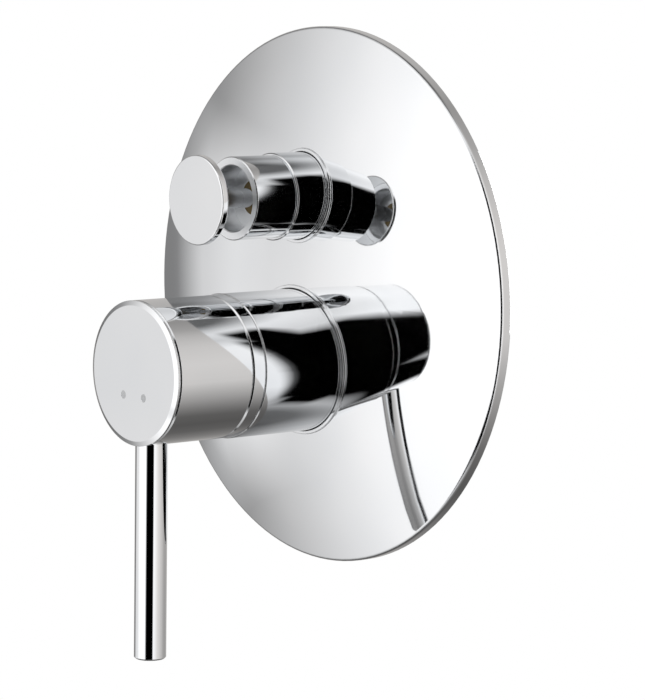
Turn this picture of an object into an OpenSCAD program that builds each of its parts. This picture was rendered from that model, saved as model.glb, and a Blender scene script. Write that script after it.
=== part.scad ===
// Concealed single-lever shower valve with a push-pull diverter.
// Frame: the origin is the centre of the cover plate on the finished wall plane.
// X runs to the right of a person who faces the valve, Y runs into the wall, Z is up.
// Most pieces are turned, so they are drawn along a local Z that runs out of the wall.
// In the comments a height is a distance along that line: positive in the room,
// negative inside the wall.

/* [Cover plate] */
// Diameter of the plate
plate_d = 170; // [140:1:210]
// Height of the plate's rim at its edge
plate_rim = 3.5; // [2:0.1:6]
// Rise of the dome from the rim to the middle
plate_dome = 11; // [8:0.5:14]
// Thickness of the pressed brass sheet
plate_sheet = 1.2; // [0.8:0.1:2]
// Radius of the rolled front edge
plate_edge = 1.2; // [0.6:0.1:2]
// Height of the small lip round each hole
lip_h = 0.8; // [0.4:0.1:1.5]
// Width of that lip
lip_w = 0.9; // [0.6:0.1:2]
// Width of the foam gasket behind the rim
gasket_w = 6.5; // [4:0.5:10]

/* [Mixer] */
// Height of the mixer axis above the plate's centre
mixer_z = -20; // [-24:0.5:-16]
// Wall of the body's neck round the cartridge nut
neck_wall = 1.95; // [1.8:0.05:3]
// Wall of the fixed sleeve
sleeve_wall = 1.5; // [1.2:0.1:2]
// Height of the sleeve's front end
sleeve_top = 43.2; // [42:0.2:46]
// How much smaller the handle's radius is than the sleeve's
handle_inset = 0.3; // [0:0.1:1]
// Height of the handle's rear edge
handle_rear = 48.3; // [48:0.1:49]
// Height of the handle's front face
handle_face = 77; // [74:0.5:95]
// Height of the point that the lever pivots about
pivot_h = 25; // [24:0.5:26]
// Gap between the dome and the hollow of the handle
dome_gap = 0.35; // [0.3:0.05:0.6]
// Radius of the hole at the top of the dome
dome_mouth = 15.4; // [15:0.1:17]

/* [Lever] */
// Diameter of the lever rod
lever_d = 10; // [8:0.5:12]
// Distance from the mixer axis to the lever's lower end
lever_reach = 89; // [70:1:110]
// Distance of the lever behind the handle's face
lever_back = 7; // [6.5:0.5:12]
// Diameter of the threaded stud at its upper end
lever_stud_d = 5.9; // [5.3:0.1:7.5]

/* [Cartridge] */
// Outer diameter of the ceramic cartridge
cartridge_d = 35; // [34:0.5:43]
// Height of the pocket's floor
cartridge_floor = -2; // [-4:0.5:-1]
// Diameter of the spindle that carries the handle
spindle_d = 8; // [7:0.5:9]
// Distance from the pivot down to the ball that drives the disc
ball_drop = 11.5; // [11:0.5:12]
// Diameter of the spindle's pivot pin
pin_d = 3; // [2.5:0.5:4]

/* [Diverter] */
// Height of the diverter axis above the plate's centre
diverter_z = 32; // [31:0.5:36]
// Diameter of the button
button_d = 27.8; // [24:0.2:30]
// Thickness of the button
button_t = 2.4; // [2:0.1:4]
// Height of the button's front face
button_face = 54; // [50:0.5:60]
// Diameter of the stem
stem_d = 6; // [5:0.1:7.4]
// Outer diameter of the shroud
shroud_d = 26; // [25:0.2:32]
// Width of the rim round the recess in the shroud's front end
recess_rim = 2.7; // [2:0.1:4]
// Height of the shroud's front end
shroud_top = 40; // [38:0.5:42]
// Height of the recess floor
recess_floor = 31.6; // [30:0.1:33]
// Height of the joint between shroud and base ring
shroud_seat = 24.6; // [22:0.1:26]
// How much larger the base ring's radius is than the shroud's
base_step = 0.7; // [0.4:0.1:1.2]
// Travel of the button towards the wall
push_travel = 8; // [6:0.5:8]

/* [Body in the wall] */
// Depth of the four ports' axes behind the wall plane
port_depth = 22; // [20:0.5:24]
// Distance from the mixer axis to the mouth of each inlet
inlet_reach = 38; // [34:0.5:42]
// Height of the upper outlet's mouth
outlet_top = 66; // [60:0.5:70]
// Height of the lower outlet's mouth
outlet_bottom = -62; // [-70:0.5:-58]
// Thread bore of the ports, for a half inch pipe
port_bore = 18.6; // [15:0.1:22.4]
// Wall of the ports round the thread
port_wall = 2.7; // [2:0.1:4]
// Depth of the threaded part of each port
port_thread = 13; // [10:0.5:14]
// Sideways distance of the fixing screws
lug_x = 30; // [28:0.5:34]
// Height of the fixing screws
lug_z = 14; // [8:0.5:20]
// Diameter of the fixing holes
lug_hole = 5.5; // [4:0.5:6]

/* [Fits] */
// Radial clearance of a running fit
running_fit = 0.05; // [0.02:0.01:0.1]
// Clearance between pieces that move past each other
free_gap = 0.3; // [0.3:0.05:0.5]
// Radial clearance of a sleeve in the plate
plate_fit = 0.25; // [0.15:0.05:0.4]
// Gap between a soft piece and what it seals
seal_gap = 0.05; // [0.02:0.01:0.15]

/* [Hidden] */
$fn = 96;

chrome = "#c9ccd0";
brass = "#c8a558";
plastic = "#e6e4dc";
grey_plastic = "#6b6f74";
ceramic = "#f2efe6";
rubber = "#2b2b2b";
foam = "#4a4a4c";
steel = "#9fa3a8";

// The dome is part of one large sphere
plate_r = plate_d / 2;
dome_top = plate_rim + plate_dome;
dome_r = (pow(plate_r, 2) + pow(plate_dome, 2)) / (2 * plate_dome);
dome_fn = 720;
plate_fn = 240;
edge_r = plate_r - plate_edge;
edge_h = dome_top - dome_r + sqrt(pow(dome_r - plate_edge, 2) - pow(edge_r, 2));
edge_join = edge_r * dome_r / (dome_r - plate_edge);

// Mixer sizes, worked out from the cartridge outwards
cartridge_r = cartridge_d / 2;
pocket_r = cartridge_r + 0.1;
nut_ledge = 1.4;
nut_r = cartridge_r + nut_ledge;
neck_r = nut_r + running_fit + neck_wall;
neck_gap = 0.2;
neck_top = 31;
sleeve_bore = neck_r + neck_gap;
sleeve_r = sleeve_bore + sleeve_wall;
sleeve_rear = 2;
handle_r = sleeve_r - handle_inset;

// Diverter radii, and the two holes of the plate
shroud_r = shroud_d / 2;
base_r = shroud_r + base_step;
mixer_hole = sleeve_r + plate_fit;
diverter_hole = base_r + plate_fit;

// The handle turns and tilts about one point, so dome and hollow are spheres about it
handle_land = 0.44;
hollow_r = sqrt(pow(handle_rear - pivot_h, 2) + pow(handle_r - handle_land, 2));
collar_r = hollow_r - dome_gap;
collar_wall = 1.8;
collar_step = sleeve_top + 0.2;
collar_skirt = 5;
collar_skirt_wall = 1.3;

// Handle front
cap_side = 0.6;
cap_bevel_w = 1.5;
cap_bevel_h = 0.6;
cap_groove = 0.4;
cap_groove_depth = 1;
cap_plug = 1.2;
cap_rear = handle_face - cap_bevel_h - cap_side;
handle_front = cap_rear - cap_groove;
handle_edge = 0.4;
mark_r = 1.2;
mark_depth = 0.4;
mark_x = 5.2;
mark_z = -7;
lever_h = handle_face - lever_back;
lever_r = lever_d / 2;
lever_chamfer = 0.5;
lever_seat = sqrt(pow(handle_r, 2) - pow(lever_r, 2)) - 0.15;
lever_stud = 10;
screw_r = 2.5;
spindle_r = spindle_d / 2;
spindle_top = handle_front - cap_plug - 0.6;

// Cartridge stack, from the pocket's floor outwards
base_t = 5;
fixed_t = 3.5;
moving_t = 3.4;
carrier_t = 5;
base_top = cartridge_floor + base_t;
fixed_top = base_top + fixed_t;
moving_low = fixed_top + running_fit;
moving_top = moving_low + moving_t;
carrier_top = moving_top + carrier_t;
housing_bore = cartridge_r - 1.9;
turret_low = carrier_top + free_gap;
turret_flange = 2.7;
turret_flange_r = housing_bore - free_gap;
turret_r = housing_bore - 4.6;
turret_top = 33.5;
housing_step = turret_low + turret_flange + free_gap;
housing_shoulder = 24;
housing_top = 30.5;
housing_neck_r = cartridge_r - 3.5;
fixed_r = housing_bore - 2.1;
moving_r = housing_bore - 4.2;
carrier_r = housing_bore - 3.6;
carrier_flat = carrier_r - 2;
cheek_w = 2.2;
cheek_h = 3;
port_hole_r = 3.6;
port_pitch = fixed_r - port_hole_r - 1.3;
base_ring_r = 1;
lift_angle = 20;
disc_travel = ball_drop * sin(lift_angle);
disc_shift = disc_travel / 2;
ball_r = 2.6;
ball_pocket_r = ball_r + 0.25;
ball_h = pivot_h - ball_drop;
ball_floor = ball_h - ball_r - free_gap;
arm_r = 2;
nut_bore = housing_neck_r + free_gap;
nut_top = 33;
nut_slot = 4;
neck_ring_h = 18;
neck_groove = 1.3;

// Bushes behind the plate
bush_rear = 6;
bush_w = 4.4;
bush_ring_h = 8;
bush_ring_r = 1;

// Diverter heights
bonnet_seat = 2;
hex_top = 8;
hex_af = 19;
bonnet_neck_r = 7;
bonnet_nose_r = 5.5;
bonnet_neck_top = 28;
stem_r = stem_d / 2;
recess_r = shroud_r - recess_rim;
base_wall = 1.6;
base_rear = 4;
base_web = 3;
button_r = button_d / 2;
button_back = button_face - button_t;
button_round = 0.5;
stem_sink = 1.4;
floor_t = 2.4;
boss_wall = 2.4;
boss_low = 20;
divert_pocket_r = 10;
divert_floor = -36;
cage_top = -6.2;
cage_r = divert_pocket_r - 0.15;
cage_bore = 6.2;
cage_floor = 1.6;
bonnet_thread_r = divert_pocket_r - 0.08;
window_front = -14.5;
window_in = -24;
window_rear = -32.5;
window_r = 2;
piston_t = 4;
piston_top = window_in + (piston_t + push_travel) / 2;
piston_r = cage_bore - 0.12;
gland_h = 21;
gland_ring_r = 0.9;

// Body sizes
body_back = -39;
barrel_back = -31;
barrel_front = -7;
barrel_r = pocket_r + 4.4;
port_r = port_bore / 2 + port_wall;
hex_step = 0.6;
hex_len = 9;
divert_r = divert_pocket_r + 4.5;
water_r = 5;
strainer_r = port_bore / 2 - 1.8;
strainer_step = 0.9;
strainer_low = 12.5;
strainer_end = inlet_reach - port_thread;
strainer_wall = 1.2;
strainer_hole = 0.9;
web_w = 22;
mixed_r = 3.2;
feed_h = -15.5;
feed_r = 2.7;
drain_h = -33;
drain_r = 2.8;
drain_web_w = 14;
drain_end = outlet_bottom + port_thread;
lug_r = 7;
lug_back = -13;
lug_front = -8;

// Places a piece so that its local Z runs out of the wall, at a height of the wall
module from_wall(z = 0) {
    translate([0, 0, z]) rotate([90, 0, 0]) children();
}

// A piece turned from a profile of [radius, height] points
module turned(points) {
    rotate_extrude() polygon(points);
}

// A plain ring between two radii and two heights
module ring(r_in, r_out, low, high) {
    turned([[r_in, low], [r_out, low], [r_out, high], [r_in, high]]);
}

// A round rubber ring
module o_ring(r, section, h) {
    translate([0, 0, h]) rotate_extrude() translate([r, 0]) circle(r = section, $fn = 32);
}

// A plain cylinder between two heights
module rod(r, low, high) {
    translate([0, 0, low]) cylinder(r = r, h = high - low);
}

// Half profile of the space under a sphere that lies "rise" outside the plate's front
module dome_area(rise, r_max) {
    intersection() {
        translate([0, dome_top - dome_r]) circle(r = dome_r + rise, $fn = dome_fn);
        square([r_max, dome_top + rise + 1]);
    }
}

// The space under such a sphere, as a solid
module dome_space(rise, r_max) {
    from_wall() rotate_extrude($fn = plate_fn) dome_area(rise, r_max);
}

module plate_blank() {
    from_wall() rotate_extrude($fn = plate_fn) difference() {
        union() {
            dome_area(0, edge_join);
            translate([edge_r, edge_h]) circle(r = plate_edge, $fn = 48);
            square([plate_r, edge_h]);
        }
        dome_area(-plate_sheet, plate_r - plate_sheet);
    }
}

// Lip that follows the dome round a hole
module plate_lip(z, hole) {
    difference() {
        intersection() {
            from_wall(z) rod(hole + lip_w, plate_rim, dome_top + lip_h + 1);
            dome_space(lip_h, plate_r - 2 * plate_edge);
        }
        dome_space(-plate_sheet, plate_r - plate_sheet);
    }
}

module cover_plate() {
    color(chrome) difference() {
        union() {
            plate_blank();
            plate_lip(mixer_z, mixer_hole);
            plate_lip(diverter_z, diverter_hole);
        }
        from_wall(mixer_z) rod(mixer_hole, -1, dome_top + 5);
        from_wall(diverter_z) rod(diverter_hole, -1, dome_top + 5);
    }
}

module wall_gasket() {
    outer = plate_r - plate_sheet - 2 * seal_gap;
    color(foam) from_wall() rotate_extrude($fn = plate_fn) intersection() {
        dome_area(-plate_sheet - seal_gap, outer);
        translate([outer - gasket_w, 0]) square([gasket_w, dome_top]);
    }
}

// Bush that lines a hole of the plate from behind and holds a gripping ring
module plate_bush(z, bore) {
    difference() {
        intersection() {
            from_wall(z) rod(bore + bush_w, bush_rear, dome_top);
            dome_space(-plate_sheet - seal_gap, plate_r - plate_sheet);
        }
        from_wall(z) rod(bore, bush_rear - 1, dome_top);
        from_wall(z) rod(bore + 2 * bush_ring_r, bush_ring_h - 1.5, bush_ring_h + 1.5);
    }
}

module bush_ring(z, tube_r) {
    from_wall(z) o_ring(tube_r + bush_ring_r + seal_gap, bush_ring_r, bush_ring_h);
}

module mixer_bush() {
    color(plastic) plate_bush(mixer_z, mixer_hole + seal_gap);
}

module mixer_bush_ring() {
    color(rubber) bush_ring(mixer_z, sleeve_r);
}

module diverter_bush() {
    color(plastic) plate_bush(diverter_z, diverter_hole + seal_gap);
}

module diverter_bush_ring() {
    color(rubber) bush_ring(diverter_z, base_r);
}

// Sleeve that slides over the body's neck and through the plate
module mixer_sleeve() {
    color(chrome) from_wall(mixer_z) turned([
        [sleeve_bore, sleeve_rear], [sleeve_r - 0.5, sleeve_rear],
        [sleeve_r, sleeve_rear + 0.5], [sleeve_r, sleeve_top - 0.25],
        [sleeve_r - 0.25, sleeve_top], [sleeve_bore, sleeve_top]
    ]);
}

module sleeve_ring() {
    section = (sleeve_bore - neck_r + neck_groove) / 2 - seal_gap;
    color(rubber) from_wall(mixer_z)
        o_ring(neck_r - neck_groove + section + seal_gap, section, neck_ring_h);
}

// Band and dome that close the sleeve behind the handle
module dome_collar() {
    skirt_r = sleeve_bore - running_fit;
    color(chrome) from_wall(mixer_z) difference() {
        union() {
            intersection() {
                translate([0, 0, pivot_h]) sphere(r = collar_r);
                rod(handle_r, collar_step, pivot_h + collar_r);
            }
            rod(skirt_r, sleeve_top - collar_skirt, collar_step + 1);
        }
        intersection() {
            translate([0, 0, pivot_h]) sphere(r = collar_r - collar_wall);
            rod(handle_r - collar_wall, sleeve_top, pivot_h + collar_r);
        }
        rod(skirt_r - collar_skirt_wall, sleeve_top - collar_skirt - 1, sleeve_top + 1);
        rod(dome_mouth, pivot_h, pivot_h + collar_r);
    }
}

module handle() {
    cap_seat_r = handle_r - cap_groove_depth + running_fit;
    color(chrome) from_wall(mixer_z) difference() {
        turned([
            [0, pivot_h + 10], [handle_r - 3, pivot_h + 10], [handle_r - 3, handle_rear],
            [handle_r, handle_rear], [handle_r, handle_front - handle_edge],
            [handle_r - handle_edge, handle_front], [0, handle_front]
        ]);
        translate([0, 0, pivot_h]) sphere(r = hollow_r);
        rod(cap_seat_r, handle_front - cap_plug, handle_front + 1);
        rod(spindle_r + running_fit, pivot_h, spindle_top + free_gap);
        translate([0, 0, lever_h]) rotate([90, 0, 0]) {
            rod(lever_r + 0.1, lever_seat, handle_r + 1);
            rod(lever_stud_d / 2 + running_fit, lever_seat - lever_stud - 0.5, handle_r);
            rod(screw_r + running_fit, 0, handle_r);
        }
    }
}

module handle_cap() {
    plug_r = handle_r - cap_groove_depth;
    color(chrome) from_wall(mixer_z) difference() {
        turned([
            [0, handle_front - cap_plug + 0.1], [plug_r, handle_front - cap_plug + 0.1],
            [plug_r, cap_rear], [handle_r, cap_rear], [handle_r, cap_rear + cap_side],
            [handle_r - cap_bevel_w, handle_face], [0, handle_face]
        ]);
        for (side = [-1, 1]) {
            translate([side * mark_x, mark_z, 0]) {
                rod(mark_r, handle_face - mark_depth, handle_face + 1);
            }
        }
    }
}

module temperature_marks() {
    color(grey_plastic) from_wall(mixer_z) for (side = [-1, 1]) {
        translate([side * mark_x, mark_z, 0]) {
            rod(mark_r, handle_face - mark_depth, handle_face - 0.02);
        }
    }
}

// Pin lever that screws into the underside of the handle
module lever() {
    color(chrome) translate([0, -lever_h, mixer_z]) rotate([180, 0, 0]) turned([
        [0, lever_seat - lever_stud], [lever_stud_d / 2 - 0.6, lever_seat - lever_stud],
        [lever_stud_d / 2, lever_seat - lever_stud + 0.6], [lever_stud_d / 2, lever_seat],
        [lever_r, lever_seat], [lever_r, lever_reach - lever_chamfer],
        [lever_r - lever_chamfer, lever_reach], [0, lever_reach]
    ]);
}

module handle_screw() {
    top = spindle_r - 0.5;
    bottom = lever_seat - lever_stud - 0.4;
    color(steel) translate([0, -lever_h, mixer_z]) rotate([180, 0, 0]) difference() {
        rod(screw_r, top + running_fit, bottom);
        translate([0, 0, bottom - 2]) cylinder(r = 1.45, h = 3, $fn = 6);
    }
}

module cartridge_nut() {
    color(brass) from_wall(mixer_z) difference() {
        ring(nut_bore, nut_r, housing_shoulder, nut_top);
        for (turn = [0, 90]) {
            rotate([0, 0, turn]) translate([-nut_r - 1, -nut_slot / 2, neck_top])
                cube([2 * nut_r + 2, nut_slot, nut_top]);
        }
    }
}

module cartridge_housing() {
    color(plastic) from_wall(mixer_z) turned([
        [housing_bore, base_top], [cartridge_r, base_top],
        [cartridge_r, housing_shoulder], [housing_neck_r, housing_shoulder],
        [housing_neck_r, housing_top], [turret_r + running_fit, housing_top],
        [turret_r + running_fit, housing_step], [housing_bore, housing_step]
    ]);
}

// The three waterways: hot and cold at the sides, mixed water at the top
module at_water_ports() {
    for (turn = [0, 90, 180]) {
        rotate([0, 0, turn]) translate([port_pitch, 0, 0]) children();
    }
}

module cartridge_base() {
    color(plastic) from_wall(mixer_z) difference() {
        rod(cartridge_r, cartridge_floor, base_top);
        at_water_ports() {
            rod(port_hole_r, cartridge_floor - 1, base_top + 1);
            rod(port_hole_r + 2 * base_ring_r, cartridge_floor - 1,
                cartridge_floor + 2 * base_ring_r);
        }
    }
}

module base_seals() {
    color(rubber) from_wall(mixer_z) at_water_ports() {
        o_ring(port_hole_r + base_ring_r, base_ring_r - seal_gap,
            cartridge_floor + base_ring_r);
    }
}

module fixed_disc() {
    color(ceramic) from_wall(mixer_z) difference() {
        rod(fixed_r, base_top, fixed_top);
        at_water_ports() rod(port_hole_r, base_top - 1, fixed_top + 1);
    }
}

module moving_disc() {
    color(ceramic) from_wall(mixer_z) translate([0, disc_shift, 0]) difference() {
        rod(moving_r, moving_low, moving_top);
        translate([0, 1.5, 0]) rod(5.5, moving_low - 1, moving_low + 2);
    }
}

// Slider on the moving disc, with a pocket for the ball and two flats as guides
module disc_carrier() {
    color(grey_plastic) from_wall(mixer_z) difference() {
        translate([0, disc_shift, 0]) rod(carrier_r, moving_top, carrier_top);
        rod(ball_pocket_r, ball_floor, carrier_top + 1);
        for (side = [-1, 1]) {
            translate([side * (carrier_flat + carrier_r) - carrier_r, -2 * carrier_r,
                    carrier_top - cheek_h - free_gap])
                cube([2 * carrier_r, 4 * carrier_r, carrier_t]);
        }
    }
}

// Drum that turns in the housing, holds the pivot pin and turns the carrier
module turret() {
    slot_w = spindle_d + 2 * running_fit;
    cheek_x = carrier_flat + 2 * running_fit;
    color(grey_plastic) from_wall(mixer_z) difference() {
        union() {
            rod(turret_flange_r, turret_low, turret_low + turret_flange);
            rod(turret_r, turret_low, turret_top);
            intersection() {
                rod(turret_flange_r, carrier_top - cheek_h, turret_low + 1);
                for (side = [-1, 1]) {
                    translate([side * (cheek_x + cheek_w / 2) - cheek_w / 2, -turret_r, 0])
                        cube([cheek_w, 2 * turret_r, turret_low + 1]);
                }
            }
        }
        translate([-slot_w / 2, -turret_r + 2, turret_low - 1])
            cube([slot_w, 2 * turret_r - 4, turret_top]);
        translate([0, 0, pivot_h]) rotate([0, 90, 0])
            rod(pin_d / 2, -turret_r - 1, turret_r + 1);
    }
}

module spindle() {
    color(steel) from_wall(mixer_z) difference() {
        union() {
            translate([0, 0, ball_h]) sphere(r = ball_r);
            rod(arm_r, ball_h, pivot_h);
            rod(spindle_r, pivot_h - spindle_r, spindle_top);
        }
        translate([0, 0, pivot_h]) rotate([0, 90, 0])
            rod(pin_d / 2 + running_fit, -spindle_d, spindle_d);
        translate([-spindle_r, -spindle_r - 0.5, lever_h - 4])
            cube([spindle_d, 1, spindle_top]);
    }
}

module spindle_pin() {
    color(steel) from_wall(mixer_z) translate([0, 0, pivot_h]) rotate([0, 90, 0])
        rod(pin_d / 2, -turret_r + 0.2, turret_r - 0.2);
}

// A port with a hexagon at its mouth, along its own Z
module port_outside(reach) {
    rod(port_r, 0, reach - hex_len / 2);
    translate([0, 0, reach - hex_len]) rotate([0, 0, 30])
        cylinder(r = (port_r + hex_step) / cos(30), h = hex_len, $fn = 6);
}

module valve_body() {
    color(brass) difference() {
        union() {
            from_wall(mixer_z) rod(barrel_r, barrel_back, barrel_front);
            from_wall(mixer_z) rod(neck_r, barrel_front - 1, neck_top);
            from_wall(diverter_z) rod(divert_r, body_back, bonnet_seat);
            translate([-web_w / 2, -barrel_front, mixer_z])
                cube([web_w, -body_back + barrel_front, diverter_z - mixer_z]);
            translate([-drain_web_w / 2, port_depth, outlet_bottom + hex_len])
                cube([drain_web_w, -body_back - port_depth, mixer_z - outlet_bottom - hex_len]);
            for (side = [-1, 1]) {
                translate([0, port_depth, mixer_z]) rotate([0, side * 90, 0])
                    port_outside(inlet_reach);
                from_wall(lug_z) translate([side * lug_x, 0, 0]) rod(lug_r, lug_back, lug_front);
                translate([min(0, side * lug_x), -lug_front, lug_z - lug_r])
                    cube([lug_x, lug_front - lug_back, 2 * lug_r]);
            }
            translate([0, port_depth, diverter_z]) port_outside(outlet_top - diverter_z);
            translate([0, port_depth, mixer_z]) rotate([180, 0, 0])
                port_outside(mixer_z - outlet_bottom);
        }
        body_cartridge_pocket();
        body_inlets();
        body_outlets();
        for (side = [-1, 1]) {
            from_wall(lug_z) translate([side * lug_x, 0, 0])
                rod(lug_hole / 2, lug_back - 1, lug_front + 1);
        }
    }
}

module body_cartridge_pocket() {
    from_wall(mixer_z) {
        rod(pocket_r, cartridge_floor, neck_top + 1);
        rod(nut_r + running_fit, housing_shoulder, neck_top + 1);
        difference() {
            rod(neck_r + 1, neck_ring_h - 1.5, neck_ring_h + 1.5);
            rod(neck_r - neck_groove, neck_ring_h - 2, neck_ring_h + 2);
        }
        at_water_ports() rod(port_hole_r, window_in, cartridge_floor + 1);
    }
}

module body_inlets() {
    for (side = [-1, 1]) {
        translate([0, port_depth, mixer_z]) rotate([0, side * 90, 0]) {
            rod(port_bore / 2, strainer_end, inlet_reach + 1);
            rod(strainer_r, strainer_end - strainer_wall, inlet_reach);
            rod(strainer_r - strainer_step, strainer_low, inlet_reach);
            rod(water_r, port_pitch - 1, inlet_reach);
        }
    }
}

// Mixed water climbs to the diverter's middle row of windows, the front row feeds the
// upper outlet and the rear row drains down behind the cartridge to the lower outlet
module body_outlets() {
    translate([0, -window_in, 0]) rod(mixed_r, mixer_z + port_pitch, diverter_z);
    from_wall(diverter_z) rod(divert_pocket_r, divert_floor, bonnet_seat + 1);
    translate([0, port_depth, 0]) {
        rod(port_bore / 2, outlet_top - port_thread, outlet_top + 1);
        rod(port_bore / 2, outlet_bottom - 1, drain_end);
        rod(water_r, drain_end - 1, drain_end + 2 * drain_r);
    }
    translate([0, -feed_h, 0]) rod(feed_r, diverter_z, outlet_top - port_thread + 1);
    translate([0, -drain_h, 0]) rod(drain_r, drain_end, diverter_z);
    translate([-drain_r, port_depth, drain_end])
        cube([2 * drain_r, -drain_h - port_depth, 2 * drain_r]);
}

// Strainer in an inlet: a cup that hangs from a rim, with holes in its floor and wall
module strainer(side) {
    cup_r = strainer_r - strainer_step - 1.5;
    cup_low = strainer_low + 2.5;
    inner_r = cup_r - strainer_wall;
    translate([0, port_depth, mixer_z]) rotate([0, side * 90, 0]) difference() {
        union() {
            rod(cup_r, cup_low, strainer_end);
            rod(strainer_r - running_fit, strainer_end - strainer_wall, strainer_end);
        }
        rod(inner_r, cup_low + strainer_wall, strainer_end + 1);
        for (turn = [0:60:300]) {
            rotate([0, 0, turn]) {
                translate([inner_r - 1.5, 0, 0]) rod(strainer_hole, cup_low - 1, strainer_end);
                for (h = [3.2, 6.2]) {
                    translate([0, 0, cup_low + h]) rotate([0, 90, 0])
                        rod(strainer_hole, inner_r - 1, cup_r + 1);
                }
            }
        }
    }
}

module hot_strainer() {
    color(plastic) strainer(-1);
}

module cold_strainer() {
    color(plastic) strainer(1);
}

module diverter_bonnet() {
    color(brass) from_wall(diverter_z) difference() {
        union() {
            rod(bonnet_thread_r, cage_top + 0.2, bonnet_seat);
            translate([0, 0, bonnet_seat])
                cylinder(r = hex_af / 2 / cos(30), h = hex_top - bonnet_seat, $fn = 6);
            rod(bonnet_neck_r, hex_top - 1, bonnet_neck_top);
            rod(bonnet_nose_r, bonnet_neck_top - 1, recess_floor);
        }
        rod(stem_r + running_fit, cage_top - 1, recess_floor + 1);
        rod(stem_r + 2 * gland_ring_r, gland_h - gland_ring_r, gland_h + gland_ring_r);
        difference() {
            rod(bonnet_thread_r + 1, bonnet_seat - 2.4, bonnet_seat - 0.2);
            rod(bonnet_thread_r - 1.5, bonnet_seat - 3, bonnet_seat);
        }
    }
}

module bonnet_ring() {
    color(rubber) from_wall(diverter_z)
        o_ring(bonnet_thread_r - 1.5 + 0.8, 0.75, bonnet_seat - 1.3);
}

module stem_seal() {
    color(rubber) from_wall(diverter_z)
        o_ring(stem_r + gland_ring_r + seal_gap, gland_ring_r - seal_gap, gland_h);
}

module diverter_base_ring() {
    color(chrome) from_wall(diverter_z) turned([
        [bonnet_neck_r + running_fit, hex_top],
        [base_r - base_wall, hex_top], [base_r - base_wall, base_rear],
        [base_r, base_rear], [base_r, shroud_seat - 0.35],
        [base_r - 0.35, shroud_seat], [shroud_r - base_wall, shroud_seat],
        [shroud_r - base_wall, hex_top + base_web],
        [bonnet_neck_r + running_fit, hex_top + base_web]
    ]);
}

module diverter_shroud() {
    boss_r = bonnet_neck_r + boss_wall;
    color(chrome) from_wall(diverter_z) turned([
        [bonnet_neck_r + running_fit, boss_low], [boss_r, boss_low],
        [boss_r, recess_floor - floor_t], [shroud_r - base_wall, recess_floor - floor_t],
        [shroud_r - base_wall, shroud_seat], [shroud_r - 0.3, shroud_seat],
        [shroud_r, shroud_seat + 0.3], [shroud_r, shroud_top - 0.3],
        [shroud_r - 0.3, shroud_top], [recess_r + 0.3, shroud_top],
        [recess_r, shroud_top - 0.3], [recess_r, recess_floor],
        [bonnet_nose_r + running_fit, recess_floor],
        [bonnet_nose_r + running_fit, bonnet_neck_top + running_fit],
        [bonnet_neck_r + running_fit, bonnet_neck_top + running_fit]
    ]);
}

module diverter_button() {
    color(chrome) from_wall(diverter_z) difference() {
        translate([0, 0, button_back]) rotate_extrude() {
            square([button_r - button_round, button_t]);
            translate([0, button_round]) square([button_r, button_t - 2 * button_round]);
            for (h = [button_round, button_t - button_round]) {
                translate([button_r - button_round, h]) circle(r = button_round, $fn = 32);
            }
        }
        rod(stem_r, button_back - 1, button_back + stem_sink);
    }
}

module diverter_stem() {
    color(chrome) from_wall(diverter_z) rod(stem_r, piston_top - 2, button_back + stem_sink);
}

// Cage with three rows of windows that the piston runs in
module diverter_cage() {
    color(plastic) from_wall(diverter_z) difference() {
        rod(cage_r, divert_floor, cage_top);
        rod(cage_bore, divert_floor + cage_floor, cage_top + 1);
        for (h = [window_front, window_in, window_rear], turn = [0:60:300]) {
            translate([0, 0, h]) rotate([0, 0, turn]) rotate([0, 90, 0])
                rod(window_r, cage_bore - 1, cage_r + 1);
        }
        for (h = cage_seal_heights()) {
            difference() {
                rod(cage_r + 1, h - 1, h + 1);
                rod(cage_r - 1, h - 2, h + 2);
            }
        }
    }
}

function cage_seal_heights() = [(window_front + window_in) / 2, (window_in + window_rear) / 2];

module cage_seals() {
    section = (divert_pocket_r - cage_r + 1) / 2 - seal_gap;
    color(rubber) from_wall(diverter_z) for (h = cage_seal_heights()) {
        o_ring(cage_r - 1 + section + seal_gap, section, h);
    }
}

module diverter_piston() {
    color(brass) from_wall(diverter_z) difference() {
        rod(piston_r, piston_top - piston_t, piston_top);
        rod(stem_r, piston_top - 2, piston_top + 1);
        difference() {
            rod(piston_r + 1, piston_top - piston_t / 2 - 0.9, piston_top - piston_t / 2 + 0.9);
            rod(piston_r - 1.2, piston_top - piston_t, piston_top);
        }
    }
}

module piston_seal() {
    section = 0.6;
    color(rubber) from_wall(diverter_z)
        o_ring(piston_r - section, section - running_fit, piston_top - piston_t / 2);
}

cover_plate();
wall_gasket();
mixer_bush();
mixer_bush_ring();
diverter_bush();
diverter_bush_ring();
mixer_sleeve();
sleeve_ring();
dome_collar();
handle();
handle_cap();
temperature_marks();
lever();
handle_screw();
cartridge_nut();
cartridge_housing();
cartridge_base();
base_seals();
fixed_disc();
moving_disc();
disc_carrier();
turret();
spindle();
spindle_pin();
valve_body();
hot_strainer();
cold_strainer();
diverter_bonnet();
bonnet_ring();
stem_seal();
diverter_base_ring();
diverter_shroud();
diverter_button();
diverter_stem();
diverter_cage();
cage_seals();
diverter_piston();
piston_seal();
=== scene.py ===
# %% [markdown]
# # A concealed shower valve, lit as a product shot
#
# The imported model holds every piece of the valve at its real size. This lesson loads it,
# makes one finish for each real material, puts the finishes on the pieces, and lights the
# valve in a small white studio that has a dark side.

# %% Load the frame
import math

import bpy
from mathutils import Matrix, Vector


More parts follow.
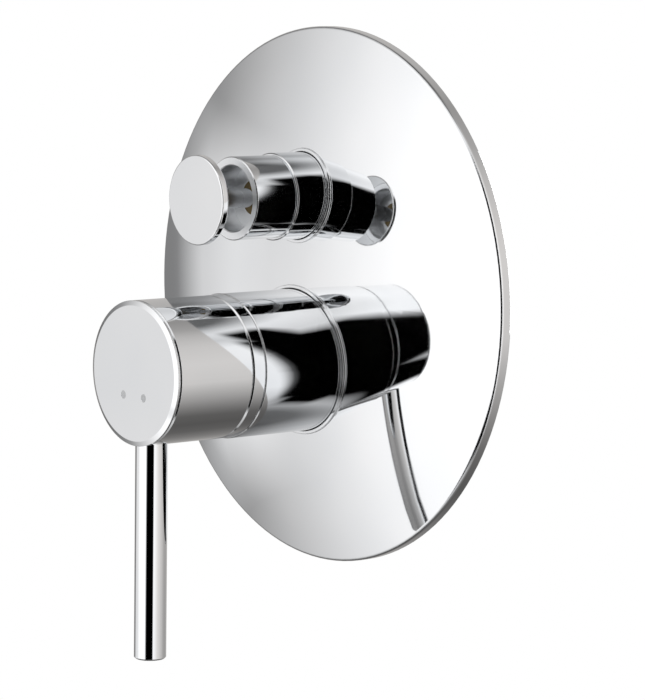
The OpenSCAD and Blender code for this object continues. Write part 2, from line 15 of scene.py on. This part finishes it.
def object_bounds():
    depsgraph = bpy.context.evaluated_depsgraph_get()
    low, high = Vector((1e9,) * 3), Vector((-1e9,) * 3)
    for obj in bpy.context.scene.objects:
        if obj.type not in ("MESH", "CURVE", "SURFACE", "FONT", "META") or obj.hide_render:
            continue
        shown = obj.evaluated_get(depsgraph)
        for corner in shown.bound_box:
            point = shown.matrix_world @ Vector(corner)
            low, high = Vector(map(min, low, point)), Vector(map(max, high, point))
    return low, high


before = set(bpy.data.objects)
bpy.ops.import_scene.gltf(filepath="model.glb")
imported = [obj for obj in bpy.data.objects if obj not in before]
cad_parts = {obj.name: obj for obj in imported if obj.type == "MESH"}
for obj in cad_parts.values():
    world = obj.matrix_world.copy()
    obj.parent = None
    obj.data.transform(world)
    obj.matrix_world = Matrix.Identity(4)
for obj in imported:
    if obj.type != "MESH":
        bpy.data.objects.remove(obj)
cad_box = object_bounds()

scene = bpy.context.scene
MM = 0.001

# %% [markdown]
# ## Tools for finishes
#
# A finish is a small network of shader nodes. These helpers keep each network readable:
# one turns a colour picked on a screen into the linear value a renderer needs, and one
# adds a node with its settings and whatever feeds it. The rest are the few patterns that
# nearly every finish is built from, each with its size in millimetres.


# %% Colour and node helpers
def linear(hex_colour):
    """A screen colour such as "E9EAEC" as linear red, green, blue and alpha."""
    channels = [int(hex_colour[i : i + 2], 16) / 255 for i in (0, 2, 4)]
    straight = [c / 12.92 if c <= 0.04045 else ((c + 0.055) / 1.055) ** 2.4 for c in channels]
    return (*straight, 1.0)


def add_node(tree, kind, inputs=None, **settings):
    """Adds a node. Each input, by name or number, takes a value or another node's output."""
    node = tree.nodes.new(kind)
    for name, value in settings.items():
        setattr(node, name, value)
    for name, value in (inputs or {}).items():
        if isinstance(value, bpy.types.NodeSocket):
            tree.links.new(value, node.inputs[name])
        else:
            node.inputs[name].default_value = value
    return node


def new_finish(name, **constants):
    """A material with one Principled shader. Constants sit on the shader itself."""
    material = bpy.data.materials.new(name)
    material.use_nodes = True
    tree = material.node_tree
    tree.nodes.clear()
    shader = add_node(tree, "ShaderNodeBsdfPrincipled", constants)
    add_node(tree, "ShaderNodeOutputMaterial", {"Surface": shader.outputs[0]})
    return material, tree, shader


def place(tree):
    """Object coordinates in metres, so that every pattern has a real size."""
    return add_node(tree, "ShaderNodeTexCoord").outputs["Object"]


def per_metre(size_mm):
    """The texture scale that gives features of about this many millimetres."""
    return 1 / (size_mm * MM)


def mottle(tree, where, size_mm, low=0.0, high=1.0, detail=2.0, clamp=True):
    """Noise with blotches of a real size, spread over a range of values."""
    inputs = {"Vector": where, "Scale": per_metre(size_mm), "Detail": detail}
    noise = add_node(tree, "ShaderNodeTexNoise", inputs)
    spread = {"Value": noise.outputs[0], 1: 0.3, 2: 0.7, 3: low, 4: high}
    return add_node(tree, "ShaderNodeMapRange", spread, clamp=clamp).outputs[0]


def between(tree, share, colour_a, colour_b):
    """A colour that goes from one hex value to another as share goes from 0 to 1."""
    inputs = {0: share, 6: linear(colour_a), 7: linear(colour_b)}
    return add_node(tree, "ShaderNodeMix", inputs, data_type="RGBA").outputs[2]


def raise_surface(tree, shader, height, depth_mm, edge_mm=0.0):
    """Bumps depth_mm deep, and sharp edges rounded to edge_mm where that is given."""
    inputs = {"Height": height, "Distance": depth_mm * MM, "Strength": 1.0}
    if edge_mm:
        bevel = add_node(tree, "ShaderNodeBevel", {"Radius": edge_mm * MM}, samples=4)
        inputs["Normal"] = bevel.outputs[0]
    bump = add_node(tree, "ShaderNodeBump", inputs)
    tree.links.new(bump.outputs[0], shader.inputs["Normal"])


print("white", linear("FFFFFF")[0], "and mid grey", round(linear("808080")[0], 3), "in linear light")

# %% [markdown]
# ## Chrome plate
#
# Everything that shows on the wall is brass, polished on a wheel and plated with nickel
# and a thin layer of chromium. The result is a mirror with a slightly cool colour, so
# nearly all that the eye sees on it is the room. Two things keep it from looking like a
# perfect mirror. The wheel leaves areas a few centimetres across that are a little less
# sharp than others. Polished metal is also never quite flat, so reflections swim by a
# hair. Every edge is broken by the polishing, which the bevel node stands in for. The
# plate's rim is rounder than the turned edges, because sheet metal bends, and the lever
# needs no bevel, because its end is already round in the model.


# %% Chrome
def make_chrome(name, edge_mm=0.2, bore=None):
    """Chrome plate. A bore is (axis x, axis z, radius) in mm: inside it the metal is dull."""
    material, tree, shader = new_finish(name, Metallic=1.0)
    where = place(tree)
    polish = mottle(tree, where, 30, 0.02, 0.05)
    if bore:
        axis_x, axis_z, radius = bore
        flat = {0: where, 1: (1, 0, 1), 2: (-axis_x * MM, 0, -axis_z * MM)}
        across = add_node(tree, "ShaderNodeVectorMath", flat, operation="MULTIPLY_ADD").outputs[0]
        reach = add_node(tree, "ShaderNodeVectorMath", {0: across}, operation="LENGTH").outputs[1]
        dull = {"Value": reach, 1: (radius + 0.1) * MM, 2: (radius - 0.1) * MM, 3: 0.0, 4: 0.3}
        extra = add_node(tree, "ShaderNodeMapRange", dull).outputs[0]
        polish = add_node(tree, "ShaderNodeMath", {0: polish, 1: extra}, operation="ADD").outputs[0]
    tree.links.new(polish, shader.inputs["Roughness"])
    tint = between(tree, mottle(tree, where, 45), "E7E9EB", "EEEFF0")
    tree.links.new(tint, shader.inputs["Base Color"])
    waves = mottle(tree, where, 16, detail=0.0, clamp=False)
    raise_surface(tree, shader, waves, 0.005, edge_mm)
    return material


chrome = make_chrome("chrome_plate_buffed")
chrome_sheet = make_chrome("chrome_plate_on_sheet", edge_mm=0.35)
chrome_rod = make_chrome("chrome_plate_on_rod", edge_mm=0.0)
chrome_bore = make_chrome("chrome_plate_with_dull_bore", bore=(0, 32, 12.6))
print("chrome: roughness 0.02 to 0.05, waves 16 mm long and 0.005 mm high")

# %% [markdown]
# ## Brass and stainless steel
#
# The body is cast brass, blasted clean, so it is dull and grainy and its skin is darker
# in places. The nut and piston are the same alloy turned on a lathe: brighter, with fine
# rings that the tool left round the axis. The bonnet is turned too, but splashes reach
# it, so it has gone brown and dull. The screw, spindle and pin are stainless steel. The
# rings are drawn 0.5 mm apart, coarser than the feed marks of a real lathe, because
# finer ones would be too small to show.


# %% Cast and turned metal
def make_cast_brass():
    material, tree, shader = new_finish("brass_cast_and_blasted", Metallic=1.0)
    where = place(tree)
    skin = between(tree, mottle(tree, where, 9, detail=4.0), "B6944F", "D2B26C")
    tree.links.new(skin, shader.inputs["Base Color"])
    tree.links.new(mottle(tree, where, 4, 0.38, 0.55), shader.inputs["Roughness"])
    raise_surface(tree, shader, mottle(tree, where, 0.7), 0.05, edge_mm=0.5)
    return material


def make_turned(name, dark, light, low, high, ring_mm=0.5):
    """Metal turned about the Y axis, with tool rings ring_mm apart."""
    material, tree, shader = new_finish(name, Metallic=1.0)
    where = place(tree)
    tree.links.new(between(tree, mottle(tree, where, 6), dark, light), shader.inputs["Base Color"])
    tree.links.new(mottle(tree, where, 3, low, high), shader.inputs["Roughness"])
    inputs = {"Vector": where, "Scale": per_metre(ring_mm) * math.pi / 10, "Distortion": 0.4}
    rings = add_node(tree, "ShaderNodeTexWave", inputs, wave_type="BANDS", bands_direction="Y")
    raise_surface(tree, shader, rings.outputs[1], 0.01, edge_mm=0.15)
    return material


cast_brass = make_cast_brass()
turned_brass = make_turned("brass_turned", "C9A65C", "DDBE78", 0.18, 0.3)
dull_brass = make_turned("brass_turned_gone_dull", "6C5F45", "80704F", 0.4, 0.52)
turned_steel = make_turned("stainless_steel_turned", "A9ABAD", "BFC1C3", 0.2, 0.34)
print("brass: casting grain 0.7 mm, tool rings 0.5 mm apart")

# %% [markdown]
# ## Plastics, ceramic, enamel and rubber
#
# The cartridge is moulded. Acetal is white and waxy, and the nylon is grey and duller,
# because its glass fibres reach the surface. The two discs are alumina, lapped so flat
# that they seal without a gasket, so they are dense, white and glossy. The two dots on
# the handle are enamel, filled in and wiped level. The rings are nitrile rubber with a
# faint bloom. All of these differ only in colour, gloss and grain, so one function makes
# them all, and each line below is one material.


# %% Everything moulded, fired or filled
def make_solid(name, dark, light, low, high, grain_mm, depth_mm, blotch_mm, ior):
    """Two near colours in blotches, gloss that varies with them, and a fine grain."""
    material, tree, shader = new_finish(name, IOR=ior)
    where = place(tree)
    colour = between(tree, mottle(tree, where, blotch_mm), dark, light)
    tree.links.new(colour, shader.inputs["Base Color"])
    tree.links.new(mottle(tree, where, blotch_mm / 2, low, high), shader.inputs["Roughness"])
    raise_surface(tree, shader, mottle(tree, where, grain_mm), depth_mm)
    return material


acetal = make_solid("acetal_moulded_white", "E4E2DA", "EDEBE4", 0.32, 0.42, 0.4, 0.006, 12, 1.48)
nylon = make_solid("glass_filled_nylon_grey", "65686B", "75787B", 0.45, 0.6, 0.3, 0.02, 5, 1.53)
alumina = make_solid("alumina_lapped", "EDEAE1", "F5F3EC", 0.1, 0.2, 0.6, 0.002, 8, 1.76)
enamel = make_solid("enamel_filled_grey", "B4B6B8", "BEC0C2", 0.15, 0.25, 0.3, 0.003, 2, 1.5)
nitrile = make_solid("nitrile_rubber_moulded", "17181A", "222325", 0.5, 0.68, 0.35, 0.012, 4, 1.52)
print("moulding grain 0.3 to 0.4 mm, refractive index from 1.48 for acetal to 1.76 for alumina")

# %% [markdown]
# ## Closed-cell foam
#
# The gasket behind the plate is cut from foam sheet. The knife opens the cells, so its
# surface is a field of tiny pits with thin walls between them. A Voronoi pattern has the
# same structure: its distance value is lowest at the middle of each cell. The same value
# also darkens the colour towards the middle of each pit, which is painted shade.


# %% Foam
def make_foam(cell_mm=0.8):
    material, tree, shader = new_finish("polyethylene_foam_cut", IOR=1.45, Roughness=0.85)
    inputs = {"Vector": place(tree), "Scale": per_metre(cell_mm)}
    pit_depth_and_shade = add_node(tree, "ShaderNodeTexVoronoi", inputs).outputs["Distance"]
    # Colour darker towards each pit's middle: painted shade in the pits, on top of the bump.
    tree.links.new(between(tree, pit_depth_and_shade, "2E2F32", "4A4B4F"), shader.inputs["Base Color"])
    raise_surface(tree, shader, pit_depth_and_shade, 0.15)
    return material


foam = make_foam()
print("foam cells 0.8 mm")

# %% [markdown]
# ## Putting a finish on
#
# The record names a material slot for every piece, so that a part library can swap one
# material everywhere. The finish goes on the mesh.


def dress(finish, *names):
    for name in names:
        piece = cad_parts[name]
        piece.data.materials.clear()
        piece.data.materials.append(finish)
    print(finish.name, "on", ", ".join(names))


# %% [markdown]
# ## The plate and what stands on it
#
# The plate is a shallow dome pressed from sheet, and the sleeve, collar and base ring
# are turned from bar. All are plated as separate parts and only meet on the wall. The
# meshes stay as they came from the exact solids, because their exact normals are what a
# mirror finish needs: a mesh with smoothed normals would bend the reflections.

# %% Plate, sleeve and rings
dress(chrome_sheet, "cover_plate")
dress(chrome, "mixer_sleeve", "dome_collar", "diverter_base_ring")

# %% [markdown]
# ## The handle
#
# The handle is turned and bored, with a flat cap pressed into its face and a rod screwed
# in from below as the lever. The dots show the way to hot and cold.

# %% Handle, cap, lever and dots
dress(chrome, "handle", "handle_cap")
dress(chrome_rod, "lever")
dress(enamel, "temperature_marks")

# %% [markdown]
# ## The diverter
#
# The button is pushed in to change from one outlet to the other. It runs in a shroud
# whose bore is plated but can't be reached by the polishing wheel, so the bore stays
# satin. One finish does both, by the distance from the button's axis.

# %% Button, stem and shroud
dress(chrome, "diverter_button", "diverter_stem")
dress(chrome_bore, "diverter_shroud")

# %% [markdown]
# ## The body in the wall
#
# The casting is left raw on the outside, since plaster and tiles cover it. The parts
# that seal or turn in it are machined.

# %% Casting and machined parts
dress(cast_brass, "valve_body")
dress(turned_brass, "cartridge_nut", "diverter_piston")
dress(dull_brass, "diverter_bonnet")
dress(turned_steel, "handle_screw", "spindle", "spindle_pin")

# %% [markdown]
# ## The cartridge, bushes and strainers
#
# The cartridge mixes the water between two ceramic discs: one is fixed, and the lever
# slides and turns the other on it. Housing, base and carrier are moulded to fit round
# them. The bushes centre the sleeve and the base ring in the plate's holes.

# %% Moulded parts and discs
dress(acetal, "cartridge_housing", "cartridge_base", "diverter_cage")
dress(acetal, "mixer_bush", "diverter_bush", "hot_strainer", "cold_strainer")
dress(nylon, "turret", "disc_carrier")
dress(alumina, "fixed_disc", "moving_disc")

# %% [markdown]
# ## Seals
#
# Each joint that holds water has a rubber ring, and the plate sits on a foam gasket that
# keeps splashes out of the wall.

# %% Rings and gasket
dress(nitrile, "mixer_bush_ring", "diverter_bush_ring", "sleeve_ring", "bonnet_ring")
dress(nitrile, "base_seals", "stem_seal", "cage_seals", "piston_seal")
dress(foam, "wall_gasket")

# %% [markdown]
# ## The camera
#
# The photograph was taken from the right of the valve, a little above it, from about a
# metre away. The numbers come from fitting the outlines of the plate, the handle's face
# and the lever in the photograph to the model.

# %% Camera
AZIMUTH, ELEVATION, LEAN = math.radians(50.82), math.radians(6.94), math.radians(0.78)
DISTANCE = 1.021
FOCAL_PIXELS, LONG_SIDE_PIXELS = 3213, 700
SENSOR_MM = 36
AIM_RIGHT, AIM_UP = 0.0002, -0.0175
RIM_FRONT = -3.5 * MM


def make_camera():
    flat = math.cos(ELEVATION)
    back = Vector((math.sin(AZIMUTH) * flat, -math.cos(AZIMUTH) * flat, math.sin(ELEVATION)))
    level_right = (-back).cross(Vector((0, 0, 1))).normalized()
    level_up = level_right.cross(-back)
    right = math.cos(LEAN) * level_right + math.sin(LEAN) * level_up
    up = math.cos(LEAN) * level_up - math.sin(LEAN) * level_right
    camera = bpy.data.objects.new("camera", bpy.data.cameras.new("camera"))
    scene.collection.objects.link(camera)
    turn = Matrix((right, up, back)).transposed().to_4x4()
    middle = Vector((0, RIM_FRONT, 0))
    turn.translation = middle + DISTANCE * back + AIM_RIGHT * right + AIM_UP * up
    camera.matrix_world = turn
    camera.data.sensor_width = SENSOR_MM
    camera.data.lens = FOCAL_PIXELS / LONG_SIDE_PIXELS * SENSOR_MM
    return camera


scene.camera = make_camera()
print("lens", round(scene.camera.data.lens), "mm, from", DISTANCE, "m away")

# %% [markdown]
# ## The studio
#
# Chrome has no look of its own, so the room is designed as carefully as the finishes.
# It is a white tent, open to a dark room on the camera's side. The dark side makes the
# black bands on the sleeve, the diverter and the lever. The tent is whitest in front of
# the valve and grey at its left end, which gives the plate its run from grey to white.
#
# The tent is painted on the world by direction. One ramp holds its tones round the
# compass, where 0 is straight out from the wall and 90 is to the right. Two more hold
# how it changes with height, one for the front and one for the side behind the valve.
# A white screen stands at eye level on the left and lifts the plate's left half. The
# opening is painted in three overlapping parts: a door, a taller slit at its right side,
# and a low dark bench that starts further left. The camera itself sees plain white, as
# in a catalogue picture.


# %% World
def ramp(tree, share, stops):
    """A grey ramp from (place from 0 to 1, brightness up to 1) pairs."""
    node = add_node(tree, "ShaderNodeValToRGB", {"Fac": share})
    band = node.color_ramp
    while len(band.elements) < len(stops):
        band.elements.new(0.5)
    for element, (at, grey) in zip(band.elements, stops):
        element.position = at
        element.color = (grey, grey, grey, 1)
    return node.outputs[0]


def compute(tree, operation, first, second):
    return add_node(tree, "ShaderNodeMath", {0: first, 1: second}, operation=operation).outputs[0]


def spread(tree, value, low, high):
    """The value with its range from low to high mapped to 0 to 1."""
    return add_node(tree, "ShaderNodeMapRange", {"Value": value, 1: low, 2: high, 3: 0.0, 4: 1.0}).outputs[0]


def round_compass(stops):
    return [((degrees + 180) / 360, grey) for degrees, grey in stops]


def up_and_down(stops):
    return [((math.sin(math.radians(degrees)) + 1) / 2, grey) for degrees, grey in stops]


TENT = [(-180, 0.32), (-150, 0.42), (-110, 0.4), (-92, 0.15), (-78, 0.2), (-71, 0.27), (-62, 0.46)]
TENT += [(-50, 0.68), (-42, 0.81), (-33, 0.93), (-20, 1.0), (60, 1.0), (95, 0.8), (122, 0.6)]
TENT += [(135, 0.56), (158, 0.38), (180, 0.32)]
SCREEN = [(-79, 0.0), (-72, 0.32), (-64, 0.28), (-56, 0.08), (-50, 0.0)]
SCREEN_REACH = [(-22, 0.0), (-17, 1.0), (2, 1.0), (7, 0.0)]
FRONT = [(-90, 0.1), (-72, 0.14), (-62, 0.4), (-50, 0.7), (-32, 1.0), (34, 1.0)]
FRONT += [(46, 0.7), (58, 0.85), (64, 0.6), (73, 0.13), (90, 0.13)]
BEHIND = [(-90, 0.25), (-50, 0.26), (-35, 0.5), (-12, 0.93), (12, 1.0), (45, 0.92), (65, 0.7), (90, 0.3)]
DOOR = [(14, 0.0), (24, 1.0), (70, 1.0), (74, 0.0)]
DOOR_REACH = [(-60, 0.0), (-48, 1.0), (37, 1.0), (45, 0.0)]
SLIT = [(44, 0.0), (52, 1.0), (66, 1.0), (71, 0.0)]
SLIT_REACH = [(-64, 0.0), (-56, 1.0), (52, 1.0), (60, 0.0)]
BENCH = [(-22, 0.0), (-12, 1.0), (60, 1.0), (70, 0.0)]
BENCH_REACH = [(-52, 0.0), (-42, 1.0), (-28, 1.0), (-20, 0.0)]
DARK_PARTS = [(DOOR, DOOR_REACH), (SLIT, SLIT_REACH), (BENCH, BENCH_REACH)]
TENT_STRENGTH = 1.3


def make_world():
    world = bpy.data.worlds.new("white_tent")
    world.use_nodes = True
    tree = world.node_tree
    tree.nodes.clear()
    look = add_node(tree, "ShaderNodeTexCoord").outputs["Generated"]
    x, y, z = add_node(tree, "ShaderNodeSeparateXYZ", {0: look}).outputs
    angle = compute(tree, "ARCTAN2", x, compute(tree, "MULTIPLY", y, -1.0))
    around = spread(tree, angle, -math.pi, math.pi)
    rise = spread(tree, z, -1.0, 1.0)
    rear = spread(tree, y, -0.15, 0.25)

    front = ramp(tree, rise, up_and_down(FRONT))
    behind = ramp(tree, rise, up_and_down(BEHIND))
    fade = add_node(tree, "ShaderNodeMix", {0: rear, 2: front, 3: behind}, data_type="FLOAT").outputs[0]
    tent = compute(tree, "MULTIPLY", ramp(tree, around, round_compass(TENT)), fade)
    screen_across = ramp(tree, around, round_compass(SCREEN))
    screen = compute(tree, "MULTIPLY", screen_across, ramp(tree, rise, up_and_down(SCREEN_REACH)))
    tent = compute(tree, "ADD", tent, screen)

    dark = 0.0
    for width, reach in DARK_PARTS:
        across = ramp(tree, around, round_compass(width))
        part = compute(tree, "MULTIPLY", across, ramp(tree, rise, up_and_down(reach)))
        dark = compute(tree, "MAXIMUM", dark, part)
    open_side = compute(tree, "SUBTRACT", 1.0, dark)
    light = compute(tree, "MULTIPLY", compute(tree, "MULTIPLY", tent, open_side), TENT_STRENGTH)

    cloth = between(tree, rear, "FFFEFE", "FFFBF8")
    studio = add_node(tree, "ShaderNodeBackground", {"Color": cloth, "Strength": light})
    plain = add_node(tree, "ShaderNodeBackground", {"Color": linear("FFFFFF"), "Strength": 1.0})
    direct = add_node(tree, "ShaderNodeLightPath").outputs["Is Camera Ray"]
    both = {0: direct, 1: studio.outputs[0], 2: plain.outputs[0]}
    seen = add_node(tree, "ShaderNodeMixShader", both)
    add_node(tree, "ShaderNodeOutputWorld", {"Surface": seen.outputs[0]})
    return world


scene.world = make_world()
scene.view_settings.view_transform = "Standard"
print("a tent of", len(TENT), "tones, with a dark door from", DOOR[1][0], "to", DOOR[2][0], "degrees")

# %% [markdown]
# ## Floor and lamps
#
# The valve hangs on a wall, so the pale floor is well below it and only takes a soft
# shadow. One wide lamp stands high in front on the left, for the dull pieces and the
# floor, and stays out of the reflections. The other stands behind the wall and lights
# the brass body, which only shows in views from the back.

# %% Floor and lamps
FLOOR_DROP = 0.35
FLOOR_RADIUS = 0.8
LAMP_SIZE = 0.8
LAMPS = {
    "front_lamp": (Vector((-0.7, -1.1, 1.0)), 6.0, False),
    "rear_lamp": (Vector((0.0, 1.5, 0.15)), 9.0, True),
}


def make_floor():
    sides = 96
    turns = [2 * math.pi * i / sides for i in range(sides)]
    low = cad_box[0].z - FLOOR_DROP
    ring = [(FLOOR_RADIUS * math.cos(t), FLOOR_RADIUS * math.sin(t), low) for t in turns]
    mesh = bpy.data.meshes.new("studio_floor")
    mesh.from_pydata(ring, [], [list(range(sides))])
    floor = bpy.data.objects.new("studio_floor", mesh)
    scene.collection.objects.link(floor)
    material, tree, shader = new_finish("painted_board_pale", Roughness=0.8)
    paint = between(tree, mottle(tree, place(tree), 120), "F1F1F0", "F7F7F6")
    tree.links.new(paint, shader.inputs["Base Color"])
    mesh.materials.append(material)
    floor.visible_glossy = False


def make_lamp(name, where, watts, reflected):
    light = bpy.data.lights.new(name, "AREA")
    light.size = LAMP_SIZE
    light.energy = watts
    lamp = bpy.data.objects.new(name, light)
    scene.collection.objects.link(lamp)
    lamp.location = where
    lamp.rotation_euler = (-where).to_track_quat("-Z", "Y").to_euler()
    lamp.visible_glossy = reflected


make_floor()
for name, (where, watts, reflected) in LAMPS.items():
    make_lamp(name, where, watts, reflected)
    print(name, watts, "W, in reflections" if reflected else "W, not in reflections")

# %% [markdown]
# ## Sizes and the end
#
# The looks must not change the size of the part. The box of the CAD is taken once after
# loading, and the floor is set below it.

# %% Finish
print("scene built")
